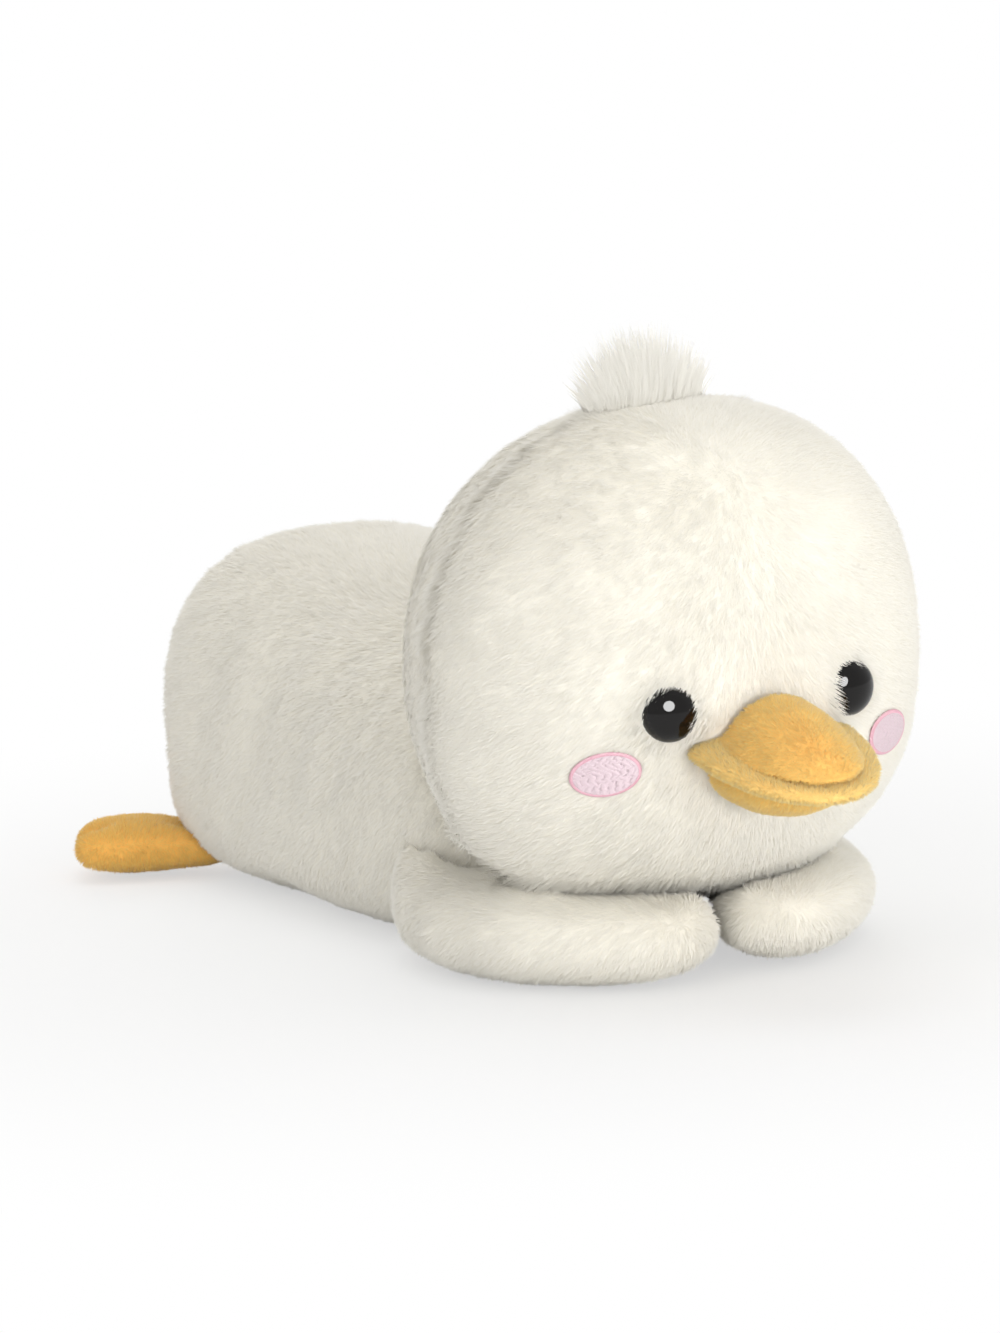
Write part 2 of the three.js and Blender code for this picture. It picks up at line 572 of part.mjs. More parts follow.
function makeFoot(name, side) {
  const middle = FOOT_HALF_THICKNESS;
  const back = BODY_REAR - FOOT_FORWARD;
  const hinge = new THREE.Vector3(side * (flankAt(back, middle) + FOOT_OUT), back, middle);
  const splay = radians(FOOT_SPLAY_DEG);
  const outward = new THREE.Vector3(side * Math.sin(splay), Math.cos(splay), 0);
  const curve = new THREE.LineCurve3(
    hinge.clone().addScaledVector(outward, -FOOT_ROOT_INSIDE),
    hinge.clone().addScaledVector(outward, FOOT_LENGTH),
  );
  const section = (share, across) => {
    const swell = Math.sin((Math.PI / 2) * Math.min(1, share / FOOT_FULL_SHARE));
    const toes = [-1, 1].reduce((sum, toe) => {
      const offset = (across - toe * TOE_NOTCH_SIDE) * FOOT_TOE_HALF_WIDTH;
      return sum + Math.exp(-((offset / TOE_NOTCH_WIDTH) ** 2));
    }, 0);
    return {
      halfWidth: mix(FOOT_ROOT_HALF_WIDTH, FOOT_TOE_HALF_WIDTH, share),
      halfThickness: mix(FOOT_ROOT_HALF_THICKNESS, FOOT_HALF_THICKNESS, swell),
      notch: share > TOE_SHARE ? (toes * TOE_NOTCH) / (FOOT_LENGTH + FOOT_ROOT_INSIDE) : 0,
    };
  };
  const axis = new THREE.Vector3(0, 0, 1).cross(outward).negate();
  const form = (grow, mesh) => clearOfBody(
    limbForm(curve, section, grow, mesh), SEAT_GAP - grow, hinge, axis, FOOT_FLEX_DEG,
  );
  const names = {
    top: `foot_${name}_top_panel`,
    under: `foot_${name}_sole_panel`,
    fill: `foot_${name}_stuffing`,
  };
  makeLimb(names, form, middle, VELVET_COVER, ORANGE_VELVET, LIMB_FILL_MESH);
}

makeBody();
makeNeck();
makeHead();
makeTuft();
makeBill();
SIDES.forEach(([name, side]) => makeWing(name, side));
SIDES.forEach(([name, side]) => makeFoot(name, side));

// The origin is under the middle of the whole goose.
const middleOfAll = new THREE.Box3().setFromObject(model).getCenter(new THREE.Vector3());
model.position.set(0, -middleOfAll.y, 0);

export default model;
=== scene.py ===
"""Looks of a plush goose that lies on its belly with its chin on its wings.

Metres, +Z up. The goose faces -Y and its left side is +X. Each soft part is a stuffed skin, blown up
as cloth and held in at its seams, with a coat of pile strands that grows from it.
"""

import json
import math

import bpy
import numpy as np
from mathutils import Matrix, Vector, kdtree

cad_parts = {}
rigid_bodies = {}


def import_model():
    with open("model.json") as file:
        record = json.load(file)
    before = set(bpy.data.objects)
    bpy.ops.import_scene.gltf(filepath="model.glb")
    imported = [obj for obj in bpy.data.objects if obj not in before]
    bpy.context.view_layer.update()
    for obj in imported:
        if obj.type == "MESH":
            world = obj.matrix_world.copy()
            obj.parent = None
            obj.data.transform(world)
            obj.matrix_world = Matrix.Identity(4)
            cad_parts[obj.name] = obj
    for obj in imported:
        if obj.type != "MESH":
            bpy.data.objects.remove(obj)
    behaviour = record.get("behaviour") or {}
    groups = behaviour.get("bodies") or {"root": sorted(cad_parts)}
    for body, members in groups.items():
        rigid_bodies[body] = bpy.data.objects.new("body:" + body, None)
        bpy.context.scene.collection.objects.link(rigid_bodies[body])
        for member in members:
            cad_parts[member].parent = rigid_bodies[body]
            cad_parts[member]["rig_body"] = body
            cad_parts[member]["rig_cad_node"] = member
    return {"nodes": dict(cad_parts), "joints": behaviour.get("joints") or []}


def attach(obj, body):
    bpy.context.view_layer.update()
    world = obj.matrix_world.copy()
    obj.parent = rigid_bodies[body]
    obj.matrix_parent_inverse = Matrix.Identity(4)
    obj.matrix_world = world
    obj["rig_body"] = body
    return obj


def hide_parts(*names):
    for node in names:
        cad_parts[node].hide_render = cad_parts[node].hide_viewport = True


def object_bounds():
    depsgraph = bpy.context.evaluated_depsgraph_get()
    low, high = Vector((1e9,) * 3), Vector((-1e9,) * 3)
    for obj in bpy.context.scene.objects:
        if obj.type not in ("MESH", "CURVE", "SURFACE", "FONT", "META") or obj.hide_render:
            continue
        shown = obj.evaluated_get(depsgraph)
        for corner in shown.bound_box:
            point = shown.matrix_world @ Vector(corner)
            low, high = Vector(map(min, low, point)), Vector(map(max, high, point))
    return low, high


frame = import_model()
cad_low, cad_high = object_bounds()

MM = 0.001
SIDES = {"right": -1, "left": 1}


def joint_place(name):
    return next(j["pos_m"] for j in frame["joints"] if j["name"] == name)


# Head, the same form as the CAD head but for its jowls
HEAD = Vector(joint_place("head_turn"))
HEAD_HALF_WIDTH = 57 * MM
HEAD_UPPER = 55 * MM
HEAD_LOWER = 51 * MM
HEAD_FRONT = 46.5 * MM
HEAD_BACK = 50.5 * MM
HEAD_SQUARENESS = 2.3
JOWL_SQUARENESS = 3.0
FACE_SQUARENESS = 2.15
NAPE_SQUARENESS = 2.0
HEAD_SEAM = HEAD.y + 4 * MM

# Body seams
RUMP_SEAM = HEAD.y + 154 * MM
BELLY_SEAM = 27 * MM

# Face
EYE_RADIUS = 6 * MM
EYE_DOME = 4.6 * MM
EYE_BACK_SHARE = 0.25
EYE_SUNK = 2.6 * MM
EYE_PLACE = (22 * MM, -4.5 * MM)
CHEEK_PLACE = (34 * MM, -16.5 * MM)
CHEEK_HALF = (7.6 * MM, 5 * MM)
CHEEK_TILT = math.radians(10)
CHEEK_SUNK = 0.7 * MM
CHEEK_EDGE_WIDTH = 0.55 * MM
CHEEK_THREAD_HALF = 0.19 * MM
BILL_DROP = -14.5 * MM
BILL_PITCH = math.radians(13)
BILL_REACH = 29 * MM
BILL_RISE = 13 * MM
LIP_HALF_THICKNESS = 2.8 * MM

# How far each skin starts inside the cover, which leaves room for its swelling and its pile
HEAD_INSET = 1.1 * MM
BODY_INSET = 1.1 * MM
WING_INSET = 0.9 * MM
FOOT_INSET = 1.2 * MM
BILL_INSET = 0.4 * MM
LIP_INSET = -0.3 * MM

# Heights over the table at which skins, strands and the roots of strands start
SKIN_LOWEST = 0.2 * MM
STRAND_LOWEST = 0.15 * MM
ROOT_LOWEST = 0.6 * MM

# Tuft
TUFT_STRANDS = 2200
TUFT_LENGTH = 19 * MM
TUFT_HALF_WIDTH = 12.5 * MM
TUFT_HALF_DEPTH = 6 * MM
TUFT_STRAND_HALF = 0.15 * MM

# Colours, as the eye sees them. Each root colour is darker than its tip: painted shade deep in the pile
WHITE_TIP = (253, 250, 241)
WHITE_SHADED_ROOT = (248, 244, 232)
ORANGE_TIP = (255, 219, 132)
ORANGE_SHADED_ROOT = (255, 206, 110)
FOOT_TIP = (255, 211, 116)
FOOT_SHADED_ROOT = (255, 195, 92)
LIP_TIP = (255, 226, 148)
LIP_SHADED_ROOT = (255, 214, 126)
CHEEK_FILL = (226, 206, 213)
CHEEK_EDGE = (230, 178, 193)
EYE_BLACK = (14, 12, 11)
FLOOR_WHITE = (246, 246, 245)


# Helpers for objects and meshes
def activate(obj):
    bpy.ops.object.select_all(action="DESELECT")
    obj.select_set(True)
    bpy.context.view_layer.objects.active = obj


def linear(color):
    """Colour in the light's own measure, from 0-255 as the eye sees it."""
    shares = [c / 255 for c in color]
    return [s / 12.92 if s <= 0.04045 else ((s + 0.055) / 1.055) ** 2.4 for s in shares]


def points_of(obj):
    points = np.zeros(len(obj.data.vertices) * 3)
    obj.data.vertices.foreach_get("co", points)
    return points.reshape(-1, 3)


def normals_of(obj):
    normals = np.zeros(len(obj.data.vertices) * 3)
    obj.data.vertex_normals.foreach_get("vector", normals)
    return normals.reshape(-1, 3)


def set_points(obj, points):
    obj.data.vertices.foreach_set("co", np.asarray(points, np.float32).ravel())
    obj.data.update()


def apply_modifier(obj, kind, **settings):
    activate(obj)
    modifier = obj.modifiers.new(kind.lower(), kind)
    for key, value in settings.items():
        setattr(modifier, key, value)
    bpy.ops.object.modifier_apply(modifier=modifier.name)


def mesh_object(name, points, faces):
    mesh = bpy.data.meshes.new(name)
    mesh.from_pydata([tuple(p) for p in points], [], faces)
    mesh.update()
    obj = bpy.data.objects.new(name, mesh)
    bpy.context.scene.collection.objects.link(obj)
    return obj


def unit(vectors):
    return vectors / np.maximum(np.linalg.norm(vectors, axis=-1, keepdims=True), 1e-12)


def wander(points, reach, seed):
    """Smooth random vectors that change over about that reach, in metres."""
    chance = np.random.default_rng(seed)
    total = np.zeros_like(points)
    for _ in range(7):
        waves = chance.normal(size=(3, 3)) / reach
        total += np.sin(points @ waves + chance.uniform(0, 2 * math.pi, 3))
    return total / math.sqrt(7)


# Head form
def head_level(points):
    """1 on the head's surface, less inside and more outside."""
    p = np.asarray(points) - np.array(HEAD)
    height = np.where(p[:, 2] > 0, HEAD_UPPER, HEAD_LOWER)
    round_part = (
        np.abs(p[:, 0] / HEAD_HALF_WIDTH) ** HEAD_SQUARENESS + np.abs(p[:, 2] / height) ** HEAD_SQUARENESS
    ) ** (1 / HEAD_SQUARENESS)
    front = p[:, 1] < 0
    power = np.where(front, FACE_SQUARENESS, NAPE_SQUARENESS)
    depth = np.where(front, HEAD_FRONT, HEAD_BACK)
    return (round_part**power + np.abs(p[:, 1] / depth) ** power) ** (1 / power)


def over_head(points):
    """About how far outside the head each point lies, in metres."""
    away = np.linalg.norm(np.asarray(points) - np.array(HEAD), axis=1)
    return away * (1 - 1 / np.maximum(head_level(points), 1e-6))


def face_spot(across, up):
    """A point on the face and its outward normal, from sideways and upward distances to the head centre."""

    def bulge(x, z):
        height = HEAD_UPPER if z > 0 else HEAD_LOWER
        share = (abs(x / HEAD_HALF_WIDTH) ** HEAD_SQUARENESS + abs(z / height) ** HEAD_SQUARENESS) ** (
            1 / HEAD_SQUARENESS
        )
        return HEAD_FRONT * (1 - share**FACE_SQUARENESS) ** (1 / FACE_SQUARENESS)

    step = 0.5 * MM
    slope_across = (bulge(across + step, up) - bulge(across - step, up)) / (2 * step)
    slope_up = (bulge(across, up + step) - bulge(across, up - step)) / (2 * step)
    spot = Vector((HEAD.x + across, HEAD.y - bulge(across, up), HEAD.z + up))
    return spot, Vector((-slope_across, -1, -slope_up)).normalized()


EYES = {side: face_spot(sign * EYE_PLACE[0], EYE_PLACE[1]) for side, sign in SIDES.items()}
CHEEKS = {side: face_spot(sign * CHEEK_PLACE[0], CHEEK_PLACE[1]) for side, sign in SIDES.items()}


def cheek_axes(side):
    """Long and short direction of a cheek patch on the face."""
    normal = CHEEKS[side][1]
    across = Vector((0, 0, 1)).cross(normal).normalized()
    up = normal.cross(across)
    tilt = -SIDES[side] * CHEEK_TILT
    long = across * math.cos(tilt) + up * math.sin(tilt)
    return long, normal.cross(long)


def cheek_share(points, side):
    """1 on a cheek's outline, less inside it."""
    spot = CHEEKS[side][0]
    long, short = cheek_axes(side)
    offset = points - np.array(spot)
    return np.hypot(offset @ np.array(long) / CHEEK_HALF[0], offset @ np.array(short) / CHEEK_HALF[1])


# Finishes
def finish(name, base, roughness, **sockets):
    material = bpy.data.materials.new(name)
    material.use_nodes = True
    shader = material.node_tree.nodes["Principled BSDF"]
    shader.inputs["Base Color"].default_value = (*linear(base), 1)
    shader.inputs["Roughness"].default_value = roughness
    for socket, value in sockets.items():
        shader.inputs[socket.replace("_", " ")].default_value = value
    return material


def pile_finish(name, root, tip, sheen, least):
    """Strand colour from root to tip along the map's height, darker at the root as painted shade in the pile,
    each strand down to a least share of it.
    """
    material = finish(name, tip, 0.9, Sheen_Weight=sheen, Sheen_Roughness=0.5, Specular_IOR_Level=0.05)
    nodes, links = material.node_tree.nodes, material.node_tree.links
    shader = nodes["Principled BSDF"]
    place = nodes.new("ShaderNodeUVMap")
    place.uv_map = "OFBake"
    split = nodes.new("ShaderNodeSeparateXYZ")
    links.new(place.outputs["UV"], split.inputs[0])
    # The ramp runs from the darker root colour, painted shade in the pile, up to the tip colour
    along = nodes.new("ShaderNodeValToRGB")
    along.color_ramp.elements[0].position = 0.05
    along.color_ramp.elements[0].color = (*linear(root), 1)
    along.color_ramp.elements[1].position = 0.75
    along.color_ramp.elements[1].color = (*linear(tip), 1)
    links.new(split.outputs["Y"], along.inputs["Fac"])
    tint = nodes.new("ShaderNodeMapRange")
    tint.inputs["To Min"].default_value = least
    tint.inputs["To Max"].default_value = 1.0
    links.new(split.outputs["X"], tint.inputs["Value"])
    shade = nodes.new("ShaderNodeMix")
    shade.data_type = "RGBA"
    shade.blend_type = "MULTIPLY"
    shade.inputs["Factor"].default_value = 1
    links.new(along.outputs["Color"], shade.inputs["A"])
    links.new(tint.outputs["Result"], shade.inputs["B"])
    links.new(shade.outputs["Result"], shader.inputs["Base Color"])
    return material


WHITE_PILE = pile_finish("white pile", WHITE_SHADED_ROOT, WHITE_TIP, 0.25, 0.97)
ORANGE_PILE = pile_finish("orange pile", ORANGE_SHADED_ROOT, ORANGE_TIP, 0.3, 0.9)
FOOT_PILE = pile_finish("foot pile", FOOT_SHADED_ROOT, FOOT_TIP, 0.3, 0.86)
LIP_PILE = pile_finish("lip pile", LIP_SHADED_ROOT, LIP_TIP, 0.3, 0.9)
# The backings take the darker root colours: painted shade in the gaps under the pile
WHITE_BACKING = finish("white backing", WHITE_SHADED_ROOT, 0.95)
ORANGE_BACKING = finish("orange backing", ORANGE_SHADED_ROOT, 0.95)
FOOT_BACKING = finish("foot backing", FOOT_SHADED_ROOT, 0.95)
LIP_BACKING = finish("lip backing", LIP_SHADED_ROOT, 0.95)
FILL_THREAD = finish("cheek fill thread", CHEEK_FILL, 0.45, Sheen_Weight=0.2)
EDGE_THREAD = finish("cheek edge thread", CHEEK_EDGE, 0.45, Sheen_Weight=0.2)
TACK_THREAD = finish("toe tack thread", FOOT_SHADED_ROOT, 0.6)
EYE_GLOSS = finish("black eye", EYE_BLACK, 0.05, Specular_IOR_Level=0.32)


# Stuffed skins
def filled_copy(name, nodes, voxel, depth, smoothing):
    """One closed skin round copies of the CAD nodes, set in by the depth of the pile."""
    bpy.ops.object.select_all(action="DESELECT")
    for node in nodes:
        frame["nodes"][node].select_set(True)
    bpy.context.view_layer.objects.active = frame["nodes"][nodes[0]]
    bpy.ops.object.duplicate()
    bpy.ops.object.parent_clear(type="CLEAR_KEEP_TRANSFORM")
    if len(nodes) > 1:
        bpy.ops.object.join()
    skin = bpy.context.active_object
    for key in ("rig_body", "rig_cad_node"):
        del skin[key]
    skin.name = name
    skin.data.name = name
    skin.data.materials.clear()
    bpy.ops.object.mode_set(mode="EDIT")
    bpy.ops.mesh.select_all(action="SELECT")
    bpy.ops.mesh.remove_doubles(threshold=1e-6)
    bpy.ops.object.mode_set(mode="OBJECT")
    apply_modifier(skin, "REMESH", mode="VOXEL", voxel_size=voxel)
    skin = outer_shell(skin)
    apply_modifier(skin, "SMOOTH", factor=0.5, iterations=smoothing)
    apply_modifier(skin, "DISPLACE", strength=-depth, mid_level=0)
    apply_modifier(skin, "SMOOTH", factor=0.5, iterations=3)
    return skin


def outer_shell(skin):
    """Keeps the largest of a mesh's loose parts, which is its outside."""
    name = skin.name
    activate(skin)
    bpy.ops.object.mode_set(mode="EDIT")
    bpy.ops.mesh.select_all(action="SELECT")
    bpy.ops.mesh.separate(type="LOOSE")
    bpy.ops.object.mode_set(mode="OBJECT")
    parts = sorted(bpy.context.selected_objects, key=lambda o: o.dimensions.length)
    for part in parts[:-1]:
        bpy.data.objects.remove(part)
    parts[-1].name = name
    return parts[-1]


def inflate(skin, held, cap):
    """Cloth blown up by its filling.

    held is each point's hold by thread, from 0 to 1, and cap how far a point may move.
    """
    frames = 20
    start = points_of(skin)
    activate(skin)
    group = skin.vertex_groups.new(name="held")
    for index in np.flatnonzero(held > 0.02):
        group.add([int(index)], float(held[index]), "REPLACE")
    cloth = skin.modifiers.new("cloth", "CLOTH")
    cloth.settings.quality = 5
    cloth.settings.mass = 0.3
    cloth.settings.tension_stiffness = 15
    cloth.settings.compression_stiffness = 15
    cloth.settings.shear_stiffness = 5
    cloth.settings.bending_stiffness = 0.5
    cloth.settings.use_pressure = True
    cloth.settings.uniform_pressure_force = 4
    cloth.settings.effector_weights.gravity = 0
    cloth.settings.vertex_group_mass = "held"
    cloth.point_cache.frame_start = 1
    cloth.point_cache.frame_end = frames
    for step in range(1, frames + 1):
        bpy.context.scene.frame_set(step)
    bpy.ops.object.modifier_apply(modifier=cloth.name)
    bpy.context.scene.frame_set(1)
    skin.vertex_groups.clear()
    move = points_of(skin) - start
    far = np.linalg.norm(move, axis=1, keepdims=True)
    set_points(skin, start + move * np.minimum(1, cap / np.maximum(far, 1e-9)))
    apply_modifier(skin, "SMOOTH", factor=0.5, iterations=2)


def near(values, level, reach):
    """1 where a value is at a level, falling off over a reach."""
    return np.exp(-(((values - level) / reach) ** 2))


def push(skin, amount):
    """Moves the skin's points along their normals."""
    set_points(skin, points_of(skin) + normals_of(skin) * np.asarray(amount)[:, None])


def finish_skin(skin, body, nodes, material, slot):
    apply_modifier(skin, "SUBSURF", levels=1, render_levels=1)
    points = points_of(skin)
    points[:, 2] = np.maximum(points[:, 2], SKIN_LOWEST)
    set_points(skin, points)
    activate(skin)
    bpy.ops.object.shade_smooth()
    skin.data.materials.append(material)
    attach(skin, body)
    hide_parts(*nodes)


# Pile
def scattered(skin, per_mm2, chance):
    """Random places on a skin and the skin's normals there."""
    mesh = skin.data
    mesh.calc_loop_triangles()
    corners = np.zeros(len(mesh.loop_triangles) * 3, np.int32)
    mesh.loop_triangles.foreach_get("vertices", corners)
    corners = corners.reshape(-1, 3)
    points, normals = points_of(skin), normals_of(skin)
    a, b, c = (points[corners[:, i]] for i in range(3))
    area = np.linalg.norm(np.cross(b - a, c - a), axis=1) / 2
    count = int(per_mm2 * area.sum() / MM**2)
    pick = chance.choice(len(corners), count, p=area / area.sum())
    u, v = chance.random((2, count))
    over = u + v > 1
    u[over], v[over] = 1 - u[over], 1 - v[over]
    shares = np.stack([1 - u - v, u, v], axis=1)[:, :, None]
    return (points[corners[pick]] * shares).sum(1), unit((normals[corners[pick]] * shares).sum(1))


def locks(roots, normals, per_mm2, spacing, chance):
    """For each strand, the way along the skin to the middle of its lock, and the lock's own random number."""
    count = max(1, int(len(roots) / (per_mm2 * (spacing / MM) ** 2)))
    middles = roots[chance.choice(len(roots), count, replace=False)]
    tree = kdtree.KDTree(count)
    for index, middle in enumerate(middles):
        tree.insert(middle, index)
    tree.balance()
    nearest = np.array([tree.find(root)[1] for root in roots])
    pull = middles[nearest] - roots
    return pull - normals * (pull * normals).sum(1, keepdims=True), chance.random(count)[nearest]


def pile(name, skin, body, material, slot, nap, seed, per_mm2=7, length=2.6 * MM, width=0.26 * MM, lift=14,
         keep=None, grow=None, stand=None, spacing=1.6 * MM, gather=0.17, ruffle=0.11, grain=0.08):
    """Strands all over a skin.

    nap gives the way they lie, keep where they grow, grow their share of the length and stand how many
    degrees more they stand up than lift. gather draws the tips of a lock together, ruffle turns the nap in
    patches and grain is how much the strands differ in the light.
    """
    chance = np.random.default_rng(seed)
    root, normal = scattered(skin, per_mm2, chance)
    grown = root[:, 2] > ROOT_LOWEST
    if keep is not None:
        grown &= keep(root, normal)
    root, normal = root[grown], normal[grown]
    count = len(root)
    pull, lock = locks(root, normal, per_mm2, spacing, chance)
    size = length * chance.uniform(0.8, 1.1, count) * (0.92 + 0.16 * lock)
    if grow is not None:
        size = size * grow(root, normal)
    stray = 0.16 * chance.normal(size=(count, 3))
    lie = unit(nap(root, normal)) + ruffle * wander(root, 7 * MM, seed + 1) + stray
    lie = unit(lie - normal * (lie * normal).sum(1, keepdims=True))
    angle = lift + 3 * wander(root, 6 * MM, seed + 2)[:, 0] + 6 * (lock - 0.5) + chance.normal(0, 4, count)
    if stand is not None:
        angle = angle + stand(root, normal)
    angle = np.radians(np.clip(angle, 6, 85))[:, None]
    way = lie * np.cos(angle) + normal * np.sin(angle)
    tip = root + way * size[:, None] + pull * gather
    twist = chance.normal(0, 0.18, count)[:, None]
    side = unit(np.cross(way, normal))
    side = unit(side * np.cos(twist) + np.cross(way, side) * np.sin(twist))
    half = (width / 2 * chance.uniform(0.8, 1.2, count))[:, None]
    root = root - normal * 0.2 * MM
    strands = np.stack([root - side * half, root + side * half, tip], axis=1)
    strands[:, :, 2] = np.maximum(strands[:, :, 2], STRAND_LOWEST)
    facing = unit(normal - 0.12 * lie + grain * chance.normal(size=(count, 3)))
    strand_mesh(name, strands, facing, body, material, slot, chance)


def strand_mesh(name, strands, facing, body, material, slot, chance):
    """A mesh of flat pointed strands of three points each, shaded as the coat that they make up."""
    count = len(strands)
    mesh = bpy.data.meshes.new(name)
    mesh.vertices.add(count * 3)
    mesh.vertices.foreach_set("co", strands.astype(np.float32).ravel())
    mesh.loops.add(count * 3)
    mesh.loops.foreach_set("vertex_index", np.arange(count * 3, dtype=np.int32))
    mesh.polygons.add(count)
    mesh.polygons.foreach_set("loop_start", np.arange(0, count * 3, 3, dtype=np.int32))
    mesh.polygons.foreach_set("use_smooth", np.ones(count, bool))
    across = chance.uniform(0.03, 0.97, count)[:, None] + np.array([-1, 1, 0]) * 0.004
    layer = mesh.uv_layers.new(name="OFBake")
    up = np.broadcast_to(np.array([0.02, 0.02, 0.98]), across.shape)
    layer.data.foreach_set("uv", np.stack([across, up], axis=2).astype(np.float32).ravel())
    mesh.update()
    mesh.validate()
    mesh.normals_split_custom_set_from_vertices(np.repeat(facing, 3, axis=0).astype(np.float32))
    mesh.materials.append(material)
    obj = bpy.data.objects.new(name, mesh)
    bpy.context.scene.collection.objects.link(obj)
    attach(obj, body)


def flow(x, y, z):
    """A nap that lies one way all over."""
    return lambda points, normals: np.broadcast_to(np.array([x, y, z], float), points.shape)


# Head
def head_nap(points, normals):
    """Down the face and back over its sides."""
    across = 1.3 * (points[:, 0] - HEAD.x) / HEAD_HALF_WIDTH
    return np.stack([across, np.full(len(points), 0.45), np.full(len(points), -0.55)], axis=1)


def clear_of_face(points):
    """True off the eyes, the cheek patches and the root of the bill."""
    keep = np.ones(len(points), bool)
    for side in SIDES:
        spot, normal = (np.array(v) for v in EYES[side])
        offset = points - spot
        away = np.linalg.norm(offset - np.outer(offset @ normal, normal), axis=1)
        keep &= (away > EYE_RADIUS * 0.86) | (np.abs(offset @ normal) > 15 * MM)
        front = points[:, 1] < HEAD.y
        keep &= (cheek_share(points, side) > 0.93) | ~front
    spot = np.array(face_spot(0, BILL_DROP)[0])
    offset = points - spot
    bill = np.hypot(offset[:, 0] / (15.5 * MM), (offset[:, 2] - 1 * MM) / (10.5 * MM))
    return keep & ((bill > 1) | (points[:, 1] > HEAD.y - 20 * MM))


def lean(points):
    """1 where the crown is stuffed fullest, to the goose's left, and down to -1 on its other side."""
    across = (points[:, 0] - HEAD.x) / HEAD_HALF_WIDTH
    return np.clip(2 * across * np.clip((points[:, 2] - HEAD.z) / HEAD_UPPER, 0, 1), -1, 1)


def width_share(low, squareness):
    """Share of its width that the head keeps at a share of its lower height."""
    return (1 - low**squareness) ** (1 / squareness)


def jowls(points):
    """How much wider the head sits where its lower sides rest on the shoulders."""
    low = np.clip((HEAD.z - points[:, 2]) / HEAD_LOWER, 0, 0.92)
    wide = width_share(low, JOWL_SQUARENESS) / width_share(low, HEAD_SQUARENESS)
    front = np.clip((points[:, 1] - HEAD.y + 34 * MM) / (26 * MM), 0, 1)
    nape = np.clip((points[:, 1] - HEAD_SEAM) / (12 * MM), 0, 1)
    return 1 + (wide - 1) * front * (1 - nape)


def inside_eyes(points):
    """1 where the face swells beside the eyes, towards the bill."""
    shares = []
    for side, (spot, _) in EYES.items():
        place = np.array(spot - Vector((SIDES[side] * 9.5 * MM, 0, 0)))
        shares.append(near(np.linalg.norm(points - place, axis=1), 0, 5 * MM))
    return np.maximum(*shares)


def round_eyes(points):
    """1 along the rims of the eyes."""
    away = [np.linalg.norm(points - np.array(spot), axis=1) for spot, _ in EYES.values()]
    return near(np.minimum(*away), EYE_RADIUS, 2.2 * MM)


def seam_fringe(points):
    """How much longer pile stands in uneven tufts on the face's side of the head seam."""
    tufted = np.clip(0.7 + 0.6 * wander(points, 3 * MM, 13)[:, 0], 0, 1.4)
    return near(HEAD_SEAM - points[:, 1], 2.5 * MM, 3 * MM) * tufted


def wing_places():
    """The points of both wings, for looking up the nearest."""
    places = np.concatenate([points_of(bpy.data.objects[f"wing_{side}_skin"]) for side in SIDES])
    tree = kdtree.KDTree(len(places))
    for place in places:
        tree.insert(place, 0)
    tree.balance()
    return tree


def make_head():
    nodes = ["head_face_panel", "head_back_panel", "head_stuffing"]
    skin = filled_copy("head_skin", nodes, 3.5 * MM, HEAD_INSET, 8)
    points = points_of(skin)
    held = near(points[:, 1], HEAD_SEAM, 3 * MM)
    for spot, _ in EYES.values():
        held = np.maximum(held, near(np.linalg.norm(points - np.array(spot), axis=1), 0, 8 * MM))
    inflate(skin, held, 1.3 * MM)
    points = points_of(skin)
    points[:, 0] *= jowls(points)
    set_points(skin, points)
    amount = -0.7 * MM * near(points[:, 1], HEAD_SEAM, 2.6 * MM)
    amount += 0.35 * MM * wander(points, 22 * MM, 3)[:, 0]
    amount += 1.4 * MM * lean(points)
    amount += 1.7 * MM * inside_eyes(points)
    push(skin, amount)
    finish_skin(skin, "head", nodes, WHITE_BACKING, "white_plush")
    wings = wing_places()

    def over_wings(points):
        """How near the strands of the chin are to the wings that they hang over."""
        share = np.zeros(len(points))
        for i in np.flatnonzero((points[:, 2] < 55 * MM) & (points[:, 1] < HEAD_SEAM)):
            share[i] = min(max(2 - wings.find(points[i])[2] / (2.5 * MM), 0), 1)
        return share

    def face_grow(points, normals):
        eyes = (0.3 + 0.5 * inside_eyes(points)) * round_eyes(points)
        return 1 + 0.7 * seam_fringe(points) + eyes + 0.6 * over_wings(points)

    def face_stand(points, normals):
        return 12 * seam_fringe(points) + 26 * round_eyes(points) + 20 * over_wings(points)

    pile("face_pile", skin, "head", WHITE_PILE, "white_plush", head_nap, 11, grow=face_grow, stand=face_stand,
         keep=lambda p, n: (p[:, 1] < HEAD_SEAM) & clear_of_face(p))
    pile("nape_pile", skin, "head", WHITE_PILE, "white_plush", head_nap, 12,
         keep=lambda p, n: p[:, 1] >= HEAD_SEAM)


